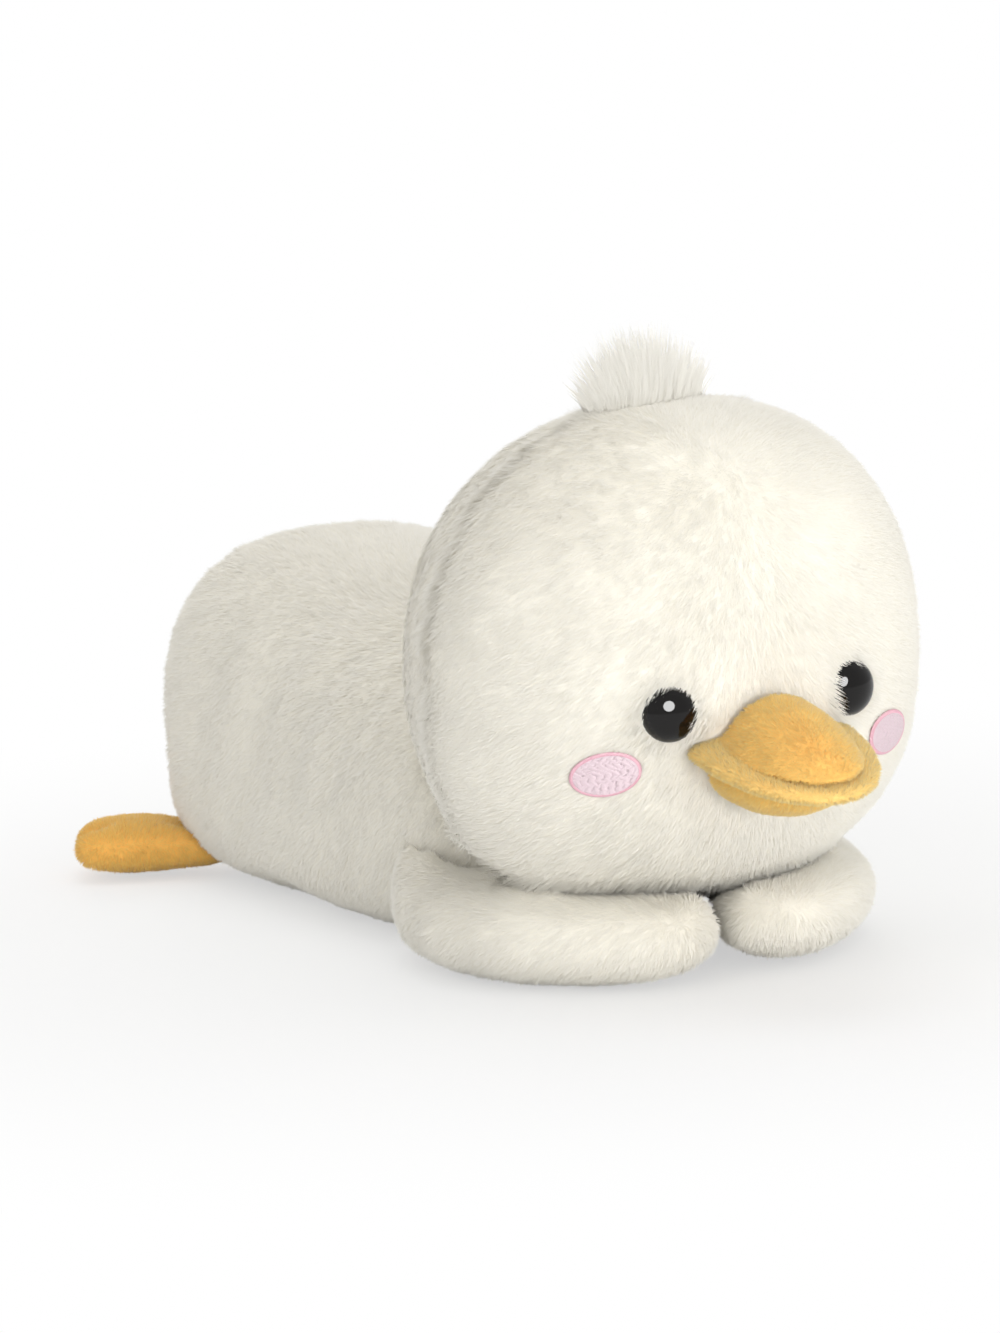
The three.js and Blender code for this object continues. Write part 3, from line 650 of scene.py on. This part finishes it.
def make_tuft():
    """Long pile that stands up from the crown seam in a few locks."""
    chance = np.random.default_rng(21)
    count = TUFT_STRANDS
    turn = chance.uniform(0, 2 * math.pi, count)
    out = np.sqrt(chance.random(count))
    across, back = out * np.cos(turn), out * np.sin(turn)
    drop = (np.abs(across) * TUFT_HALF_WIDTH / HEAD_HALF_WIDTH) ** HEAD_SQUARENESS
    root = np.stack([
        HEAD.x + across * TUFT_HALF_WIDTH,
        HEAD.y + 3 * MM + back * TUFT_HALF_DEPTH,
        HEAD.z + HEAD_UPPER * (1 - drop) - 4 * MM,
    ], axis=1)
    lock = np.round(across * 3.2) / 3.2
    aside = 0.22 * lock + 0.12 * chance.normal(size=count)
    behind = 0.3 * back + 0.15 * chance.normal(size=count)
    way = np.stack([aside, behind, np.ones(count)], axis=1)
    way = unit(way + 0.2 * wander(root, 5 * MM, 22))
    size = TUFT_LENGTH * chance.uniform(0.55, 1.05, count) * (1 - 0.5 * out**3)
    outward = 0.22 * np.sign(lock) * np.abs(lock) ** 0.5
    bend = np.stack([outward, np.full(count, 0.25), np.full(count, -0.15)], axis=1)
    middle = root + way * (0.55 * size)[:, None]
    tip = middle + unit(way + bend) * (0.45 * size)[:, None]
    side = unit(np.cross(way, chance.normal(size=(count, 3))))
    other = np.cross(way, side)
    half = (TUFT_STRAND_HALF * chance.uniform(0.8, 1.2, count))[:, None]
    turns = [2 * math.pi * k / 3 for k in range(3)]
    ring = [side * math.cos(turn) + other * math.sin(turn) for turn in turns]
    lower = [root + spoke * half for spoke in ring]
    upper = [middle + spoke * half * 0.8 for spoke in ring]
    points = np.stack([*lower, *upper, tip], axis=1)
    per_strand = points.shape[1]
    faces = []
    for k in range(3):
        n = (k + 1) % 3
        faces += [(k, n, 3 + n, 3 + k), (3 + k, 3 + n, 6)]
    all_faces = [tuple(per_strand * strand + i for i in face) for strand in range(count) for face in faces]
    tuft = mesh_object("tuft", points.reshape(-1, 3), all_faces)
    layer = tuft.data.uv_layers.new(name="OFBake")
    heights = np.array([0.02, 0.02, 0.02, 0.55, 0.55, 0.55, 0.98])
    tints = chance.uniform(0.03, 0.97, count)
    corner = np.array([loop.vertex_index for loop in tuft.data.loops])
    map_uv = np.stack([tints[corner // per_strand], heights[corner % per_strand]], axis=1)
    layer.data.foreach_set("uv", map_uv.astype(np.float32).ravel())
    activate(tuft)
    bpy.ops.object.shade_smooth()
    facing = unit(way * 0.2 + np.array([-0.1, -0.7, 0.5]))
    tuft.data.normals_split_custom_set_from_vertices(np.repeat(facing, per_strand, axis=0).astype(np.float32))
    tuft.data.materials.append(WHITE_PILE)
    tuft.visible_shadow = False
    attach(tuft, "head")
    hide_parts("head_tuft")


# Eyes
def make_eye(side):
    spot, normal = EYES[side]
    bpy.ops.object.select_all(action="DESELECT")
    bpy.ops.mesh.primitive_uv_sphere_add(segments=48, ring_count=24, radius=EYE_RADIUS)
    eye = bpy.context.active_object
    eye.name = f"eye_dome_{side}"
    points = points_of(eye)
    points[:, 2] *= np.where(points[:, 2] > 0, EYE_DOME / EYE_RADIUS, EYE_BACK_SHARE)
    set_points(eye, points)
    turn = normal.to_track_quat("Z", "Y").to_matrix().to_4x4()
    eye.data.transform(Matrix.Translation(spot - normal * EYE_SUNK) @ turn)
    activate(eye)
    bpy.ops.object.shade_smooth()
    eye.data.materials.append(EYE_GLOSS)
    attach(eye, "head")
    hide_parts(f"eye_{side}")


# Cheeks
def stitch(start, end, normal, half):
    """One raised thread from start to end, six-sided across and pointed at its ends."""
    along = (end - start).normalized()
    side = along.cross(normal).normalized()
    points, ends = [start, end], []
    for share in (0.2, 0.8):
        centre = start.lerp(end, share)
        ends.append(len(points))
        for k in range(6):
            turn = math.pi * k / 3
            points.append(centre + side * (half * math.cos(turn)) + normal * (half * math.sin(turn)))
    faces = []
    for k in range(6):
        n = (k + 1) % 6
        faces.append((0, ends[0] + n, ends[0] + k))
        faces.append((ends[0] + k, ends[0] + n, ends[1] + n, ends[1] + k))
        faces.append((1, ends[1] + k, ends[1] + n))
    return points, faces


def stitched(name, threads, normal, half, material):
    """One piece of raised threads, from a start and an end of each."""
    points, faces = [], []
    for start, end in threads:
        new_points, new_faces = stitch(start, end, normal, half)
        faces += [tuple(i + len(points) for i in face) for face in new_faces]
        points += new_points
    piece = mesh_object(name, points, faces)
    activate(piece)
    bpy.ops.object.mode_set(mode="EDIT")
    bpy.ops.mesh.select_all(action="SELECT")
    bpy.ops.mesh.normals_make_consistent(inside=False)
    bpy.ops.object.mode_set(mode="OBJECT")
    bpy.ops.object.shade_smooth()
    piece.data.materials.append(material)
    return piece


def fill_threads(on_patch, inner):
    """Stitches of uneven length in close rows over an oval."""
    chance = np.random.default_rng(71)
    row, reach, least = 0.3 * MM, 2.1 * MM, 0.5 * MM
    threads = []
    for line in range(int(2 * inner[1] / row)):
        y = -inner[1] + (line + 0.5) * row
        wide = inner[0] * math.sqrt(max(0.0, 1 - (y / inner[1]) ** 2))
        x = -wide - chance.uniform(0, 1) * reach
        while x < wide:
            left, right = max(x, -wide), min(x + reach, wide)
            if right - left > least:
                threads.append((on_patch(left, y), on_patch(right, y + 0.25 * row)))
            x += reach * chance.uniform(0.6, 0.9)
    return threads


def edge_threads(on_patch, inner, normal):
    """A ring of slanting satin stitches round an oval."""
    stitches, slant, overlap = 136, 0.09, 0.2 * MM
    threads = []
    for k in range(stitches):
        turn = 2 * math.pi * k / stitches
        late = turn + slant
        outer = on_patch(CHEEK_HALF[0] * math.cos(turn), CHEEK_HALF[1] * math.sin(turn))
        inside = on_patch((inner[0] - overlap) * math.cos(late), (inner[1] - overlap) * math.sin(late))
        threads.append((outer - normal * 0.3 * MM, inside + normal * 0.15 * MM))
    return threads


def make_cheek(side):
    """Filling stitches in rows over an oval, with a ring of satin stitches round it."""
    spot, normal = CHEEKS[side]
    long, short = cheek_axes(side)

    def on_patch(x, y):
        offset = spot + long * x + short * y - HEAD
        return face_spot(offset.x, offset.z)[0] - normal * CHEEK_SUNK

    inner = [half - CHEEK_EDGE_WIDTH for half in CHEEK_HALF]
    threads = fill_threads(on_patch, inner)
    fill = stitched(f"cheek_fill_{side}", threads, normal, CHEEK_THREAD_HALF, FILL_THREAD)
    corners = 32
    turns = [2 * math.pi * k / corners for k in range(corners)]
    rim = [on_patch(inner[0] * math.cos(turn), inner[1] * math.sin(turn)) for turn in turns]
    faces = [(0, k + 1, (k + 1) % corners + 1) for k in range(corners)]
    base = mesh_object(f"cheek_base_{side}", [on_patch(0, 0), *rim], faces)
    base.data.materials.append(FILL_THREAD)
    threads = edge_threads(on_patch, inner, normal)
    edge = stitched(f"cheek_edge_{side}", threads, normal, CHEEK_THREAD_HALF, EDGE_THREAD)
    for piece in (base, fill, edge):
        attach(piece, "head")
    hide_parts(f"cheek_{side}")


# Bill
def over_lip(points):
    """How far each point lies above the middle of the lip, in metres."""
    up = np.array([0, -math.sin(BILL_PITCH), math.cos(BILL_PITCH)])
    return (points - np.array(face_spot(0, BILL_DROP)[0])) @ up


def shape_bill(skin, lip):
    """Pinches the upper bill to a ridge that runs down to its tip, and turns the corners of the lip up."""
    points = points_of(skin)
    over = over_lip(points)
    reach = np.clip((face_spot(0, BILL_DROP)[0].y - points[:, 1]) / BILL_REACH, 0, 1)
    above = np.clip((over - 1 * MM) / (4 * MM), 0, 1)
    points[:, 0] *= 1 - above * (0.22 + 0.12 * over / BILL_RISE) * (1 - reach)
    points[:, 1] -= 2.6 * MM * above * reach
    raised = 1.9 * MM * (1 - 0.7 * reach) * (1 if lip else near(over, 0, 3 * MM))
    points[:, 2] += raised - 1.1 * MM * above * np.clip((reach - 0.3) / 0.5, 0, 1)
    set_points(skin, points)


def make_bill():
    """Two stuffed covers that run in under the puffed lip between them."""
    parts = [
        ("upper_bill", ["upper_bill", "upper_bill_stuffing"], ORANGE_BACKING, ORANGE_PILE, "orange_velvet"),
        ("lower_bill", ["lower_bill", "lower_bill_stuffing"], ORANGE_BACKING, ORANGE_PILE, "orange_velvet"),
        ("bill_lip", [], LIP_BACKING, LIP_PILE, "pale_velvet"),
    ]
    for seed, (name, cover, backing, coat, slot) in enumerate(parts):
        lip = not cover
        inset = LIP_INSET if lip else BILL_INSET
        skin = filled_copy(f"{name}_skin", [*cover, "bill_lip"], 0.8 * MM, inset, 6)
        shape_bill(skin, lip)
        if not lip:
            push(skin, -0.9 * MM * near(over_lip(points_of(skin)), 0, LIP_HALF_THICKNESS * 0.75))
        inflate(skin, near(over_head(points_of(skin)), 0, 2 * MM), 0.5 * MM)
        finish_skin(skin, "head", cover or ["bill_lip"], backing, slot)

        def shows(points, normals):
            clear = lip | (np.abs(over_lip(points)) > LIP_HALF_THICKNESS * 0.8)
            return clear & (over_head(points) > -0.5 * MM)

        lift, grain = (44, 0.32) if lip else (34, 0.22)
        pile(f"{name}_pile", skin, "head", coat, slot, flow(0, 0.6, -0.5), 31 + seed, per_mm2=18,
             length=1 * MM, width=0.2 * MM, lift=lift, keep=shows, gather=0, ruffle=0.2, grain=grain)


# Body
def body_nap(points, normals):
    """Back and down, and a little away from the body's middle."""
    middle = np.array([0, 0.03, 0.06])
    return np.broadcast_to(np.array([0, 0.75, -0.6]), points.shape) + 0.4 * unit(points - middle)


def flank_folds(points):
    """Soft slanting creases on both flanks, as filling leaves them."""
    depth = np.zeros(len(points))
    for back, slant, width in ((28, -0.28, 5), (46, -0.22, 6), (64, -0.16, 6.5), (84, -0.1, 7)):
        line = points[:, 1] - (HEAD.y + (back + 40) * MM) - slant * (points[:, 2] - 40 * MM)
        line = line + 2.5 * MM * wander(points, 18 * MM, back)[:, 1]
        band = near(points[:, 2], 48 * MM, 24 * MM) * np.clip(np.abs(points[:, 0]) / (30 * MM), 0, 1)
        depth += near(line, 0, width * MM) * band
    return depth


def make_body():
    nodes = ["body_back_panel", "body_belly_panel", "body_rump_panel", "body_stuffing"]
    skin = filled_copy("body_skin", nodes, 4 * MM, BODY_INSET, 6)
    points = points_of(skin)
    held = near(points[:, 1], RUMP_SEAM, 3 * MM)
    held = np.maximum(held, near(over_head(points), 0, 8 * MM))
    inflate(skin, held, 1.6 * MM)
    points = points_of(skin)
    amount = 0.9 * MM * wander(points, 26 * MM, 5)[:, 0] - 2.1 * MM * flank_folds(points)
    amount -= 1.8 * MM * near(points[:, 1], RUMP_SEAM, 2.6 * MM)
    top = np.clip(normals_of(skin)[:, 2], 0, 1)
    amount += 1.5 * MM * top - 1.3 * MM * near(points[:, 1], cad_high[1], 14 * MM)
    amount -= 1.4 * MM * near(points[:, 1], RUMP_SEAM, 24 * MM) * near(points[:, 2], 62 * MM, 16 * MM)
    push(skin, amount * (over_head(points) > 6 * MM))
    finish_skin(skin, "body", nodes, WHITE_BACKING, "white_plush")

    def coat(panel, seed, on_panel):
        pile(f"{panel}_pile", skin, "body", WHITE_PILE, "white_plush", body_nap, seed, per_mm2=6,
             keep=lambda p, n: on_panel(p) & (over_head(p) > 0.8 * MM))

    coat("back", 41, lambda p: (p[:, 2] >= BELLY_SEAM) & (p[:, 1] < RUMP_SEAM))
    coat("belly", 42, lambda p: (p[:, 2] < BELLY_SEAM) & (p[:, 1] < RUMP_SEAM))
    coat("rump", 43, lambda p: p[:, 1] >= RUMP_SEAM)


def make_neck():
    skin = filled_copy("neck_skin", ["neck_stuffing"], 2.5 * MM, 0.2 * MM, 4)
    finish_skin(skin, "neck", ["neck_stuffing"], WHITE_BACKING, "white_plush")


# Wings
def shape_wing(skin, side):
    """Runs the wing's root into the body, raises it to a shoulder and brings the tips together."""
    inward = -SIDES[side]
    points = points_of(skin)
    shoulder = joint_place(f"wing_{side}_swing")[1]
    root = np.clip((points[:, 1] - shoulder + 7 * MM) / (7 * MM), 0, 1)
    points += np.outer(root, [inward * 7 * MM, 5 * MM, 0])
    rise = np.clip((points[:, 1] - shoulder + 26 * MM) / (24 * MM), 0, 1) ** 1.5
    rise *= np.clip(points[:, 2] / (24 * MM), 0, 1)
    raised = points + np.outer(rise, [inward * 6 * MM, 0, 13 * MM])
    points += (raised - points) * np.clip((over_head(raised) - 5 * MM) / (7 * MM), 0, 1)[:, None]
    points[:, 0] += inward * 1.2 * MM * np.clip(1 - np.abs(points[:, 0]) / (14 * MM), 0, 1)
    set_points(skin, points)
    under_head = np.clip((5 * MM - over_head(points)) / (2.5 * MM), 0, 1)
    push(skin, 0.5 * MM * wander(points, 14 * MM, 7)[:, 0] + 1.5 * MM * under_head)


def make_wing(side):
    body = f"wing_{side}"
    nodes = [f"{body}_{part}" for part in ("top_panel", "under_panel", "stuffing")]
    skin = filled_copy(f"{body}_skin", nodes, 3 * MM, WING_INSET, 4)
    inflate(skin, near(over_head(points_of(skin)), 0, 4 * MM), 1.2 * MM)
    shape_wing(skin, side)
    finish_skin(skin, body, nodes, WHITE_BACKING, "white_plush")
    pile(f"{body}_pile", skin, body, WHITE_PILE, "white_plush", flow(SIDES[side] * 0.3, 0.6, -0.6),
         51 + SIDES[side], keep=lambda p, n: over_head(p) > 0.4 * MM)


# Feet
FOOT_SPLAY = math.radians(56)
TOE_TACK_SIDE = 4.8 * MM


def foot_axes(side):
    """Hinge of a foot and the ways outwards and across it."""
    hinge = np.array(joint_place(f"foot_{side}_flex"))
    outward = np.array([SIDES[side] * math.sin(FOOT_SPLAY), math.cos(FOOT_SPLAY), 0])
    return hinge, outward, np.array([-outward[1], outward[0], 0])


def tack_toes(side, skin):
    """Two tacks of thread round the toe edge, which pull the toes apart."""
    hinge, outward, sideways = foot_axes(side)
    offset = points_of(skin) - hinge
    threads = []
    for place in (-TOE_TACK_SIDE, TOE_TACK_SIDE):
        strip = offset[np.abs(offset @ sideways - place) < 1.2 * MM]
        edge = strip[np.argmax(strip @ outward)]
        reach = edge @ outward
        band = strip[np.abs(strip @ outward - reach + 3.5 * MM) < 1.2 * MM]
        for end in (band[np.argmax(band[:, 2])], band[np.argmin(band[:, 2])]):
            out = np.array([0, 0, 0.9 * MM * np.sign(end[2])])
            lip = edge + outward * 1.2 * MM + sideways * (place - edge @ sideways)
            end = end + out + sideways * (place - end @ sideways)
            threads.append((Vector(hinge + lip), Vector(hinge + end)))
    tack = stitched(f"toe_tacks_{side}", threads, Vector((0, 0, 1)), 0.35 * MM, TACK_THREAD)
    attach(tack, f"foot_{side}")


def make_foot(side):
    body = f"foot_{side}"
    nodes = [f"{body}_{part}" for part in ("top_panel", "sole_panel", "stuffing")]
    skin = filled_copy(f"{body}_skin", nodes, 1.3 * MM, FOOT_INSET, 4)
    inflate(skin, np.zeros(len(skin.data.vertices)), 0.5 * MM)
    hinge, outward, sideways = foot_axes(side)
    points = points_of(skin)
    root = np.clip((4 * MM - (points - hinge) @ outward) / (6 * MM), 0, 1)
    set_points(skin, points - np.outer(root, outward) * 7 * MM)
    offset = points_of(skin) - hinge
    toes = np.clip((offset @ outward - 11 * MM) / (6 * MM), 0, 1)
    push(skin, -1.8 * MM * toes * near(np.abs(offset @ sideways), TOE_TACK_SIDE, 1.7 * MM))
    finish_skin(skin, body, nodes, FOOT_BACKING, "orange_velvet")
    pile(f"{body}_pile", skin, body, FOOT_PILE, "orange_velvet", flow(-SIDES[side] * 0.6, 0.6, -0.3),
         61 + SIDES[side], per_mm2=14, length=1.4 * MM, width=0.22 * MM, lift=28, gather=0, ruffle=0.25,
         grain=0.25)
    tack_toes(side, skin)


make_body()
make_neck()
for side in SIDES:
    make_wing(side)
    make_foot(side)
    make_eye(side)
    make_cheek(side)
make_head()
make_tuft()
make_bill()


# Stage, light and camera
def either_ray(tree, first, second):
    """An output that is 1 for both kinds of ray."""
    rays = tree.nodes.new("ShaderNodeLightPath")
    seen = tree.nodes.new("ShaderNodeMath")
    seen.operation = "MAXIMUM"
    tree.links.new(rays.outputs[first], seen.inputs[0])
    tree.links.new(rays.outputs[second], seen.inputs[1])
    return seen.outputs[0]


def make_floor():
    """A pale floor that shows the goose's shadow and runs out to plain white."""
    bpy.ops.object.select_all(action="DESELECT")
    bpy.ops.mesh.primitive_plane_add(size=8)
    floor = bpy.context.active_object
    floor.name = "floor"
    material = finish("floor", FLOOR_WHITE, 0.9, Specular_IOR_Level=0.1)
    nodes, links = material.node_tree.nodes, material.node_tree.links
    shader, output = nodes["Principled BSDF"], nodes["Material Output"]
    plain = nodes.new("ShaderNodeEmission")
    place = nodes.new("ShaderNodeTexCoord")
    away = nodes.new("ShaderNodeVectorMath")
    away.operation = "LENGTH"
    links.new(place.outputs["Object"], away.inputs[0])
    fade = nodes.new("ShaderNodeMapRange")
    fade.inputs["From Min"].default_value = 0.08
    fade.inputs["From Max"].default_value = 0.26
    fade.inputs["To Min"].default_value = 0.55
    fade.inputs["To Max"].default_value = 1.0
    fade.interpolation_type = "SMOOTHSTEP"
    links.new(away.outputs["Value"], fade.inputs["Value"])
    share = nodes.new("ShaderNodeMath")
    share.operation = "MULTIPLY"
    links.new(fade.outputs["Result"], share.inputs[0])
    links.new(either_ray(material.node_tree, "Is Camera Ray", "Is Glossy Ray"), share.inputs[1])
    both = nodes.new("ShaderNodeMixShader")
    links.new(share.outputs[0], both.inputs["Fac"])
    links.new(shader.outputs[0], both.inputs[1])
    links.new(plain.outputs[0], both.inputs[2])
    links.new(both.outputs[0], output.inputs["Surface"])
    floor.data.materials.append(material)


def add_lamp(name, place, aim, size, watts, mirrored=False):
    """A round soft lamp. A mirrored one shows only as a highlight, and the others show as none."""
    data = bpy.data.lights.new(name, "AREA")
    data.shape = "DISK"
    data.size = size
    data.energy = watts
    lamp = bpy.data.objects.new(name, data)
    lamp.visible_glossy = mirrored
    lamp.visible_diffuse = not mirrored
    lamp.location = place
    lamp.rotation_euler = (Vector(aim) - Vector(place)).to_track_quat("-Z", "Y").to_euler()
    bpy.context.scene.collection.objects.link(lamp)


def make_world():
    """White light from all round, plain white where the camera sees it."""
    world = bpy.data.worlds.new("studio")
    world.use_nodes = True
    nodes, links = world.node_tree.nodes, world.node_tree.links
    back = nodes["Background"]
    back.inputs["Color"].default_value = (1, 1, 1, 1)
    level = nodes.new("ShaderNodeMapRange")
    level.inputs["To Min"].default_value = 0.65
    level.inputs["To Max"].default_value = 1.0
    links.new(either_ray(world.node_tree, "Is Camera Ray", "Is Transmission Ray"), level.inputs["Value"])
    links.new(level.outputs["Result"], back.inputs["Strength"])
    bpy.context.scene.world = world


# Camera, fitted to the outline in the photograph, and the size of a pixel at the head
CAMERA_AZIMUTH = math.radians(28)
CAMERA_ELEVATION = math.radians(10.5)
CAMERA_ROLL = math.radians(2.7)
CAMERA_DISTANCE = 1.8
SENSOR = 36
PIXEL = 0.2095 * MM
IMAGE_WIDTH, IMAGE_HEIGHT = 1000, 1333
HEAD_PIXEL = (660, 652)


def make_camera():
    a, e, r = CAMERA_AZIMUTH, CAMERA_ELEVATION, CAMERA_ROLL
    back = Vector((-math.sin(a) * math.cos(e), -math.cos(a) * math.cos(e), math.sin(e)))
    level = Vector((math.cos(a), -math.sin(a), 0))
    upright = Vector((math.sin(a) * math.sin(e), math.cos(a) * math.sin(e), math.cos(e)))
    right = level * math.cos(r) - upright * math.sin(r)
    up = upright * math.cos(r) + level * math.sin(r)
    shift = right * (HEAD_PIXEL[0] - IMAGE_WIDTH / 2) * PIXEL
    drop = up * (HEAD_PIXEL[1] - IMAGE_HEIGHT / 2) * PIXEL
    aim = HEAD - shift + drop
    data = bpy.data.cameras.new("camera")
    data.sensor_fit = "AUTO"
    data.sensor_width = SENSOR
    data.lens = SENSOR * CAMERA_DISTANCE / (IMAGE_HEIGHT * PIXEL)
    camera = bpy.data.objects.new("camera", data)
    place = aim + back * CAMERA_DISTANCE
    camera.matrix_world = Matrix((
        (right.x, up.x, back.x, place.x),
        (right.y, up.y, back.y, place.y),
        (right.z, up.z, back.z, place.z),
        (0, 0, 0, 1),
    ))
    bpy.context.scene.collection.objects.link(camera)
    bpy.context.scene.camera = camera


make_floor()
make_world()
make_camera()
add_lamp("key", (0.4, -1.3, 0.25), (0, -0.03, 0.05), 0.8, 1.8)
add_lamp("fill", (-0.6, -1.15, 0.45), (0, 0, 0.05), 0.6, 1.6)
add_lamp("low front", (-0.1, -1.3, 0.07), (0, -0.06, 0.03), 0.5, 7.2)
add_lamp("top", (0, 0.05, 1.2), (0, 0.02, 0), 0.8, 2.3)
add_lamp("back", (0.5, 1.3, 0.6), (0, 0.03, 0.05), 0.8, 4.5)
add_lamp("catch light", (-0.4, -1.2, 0.62), (0, -0.08, 0.06), 0.85, 44, mirrored=True)
bpy.context.scene.view_settings.view_transform = "Standard"
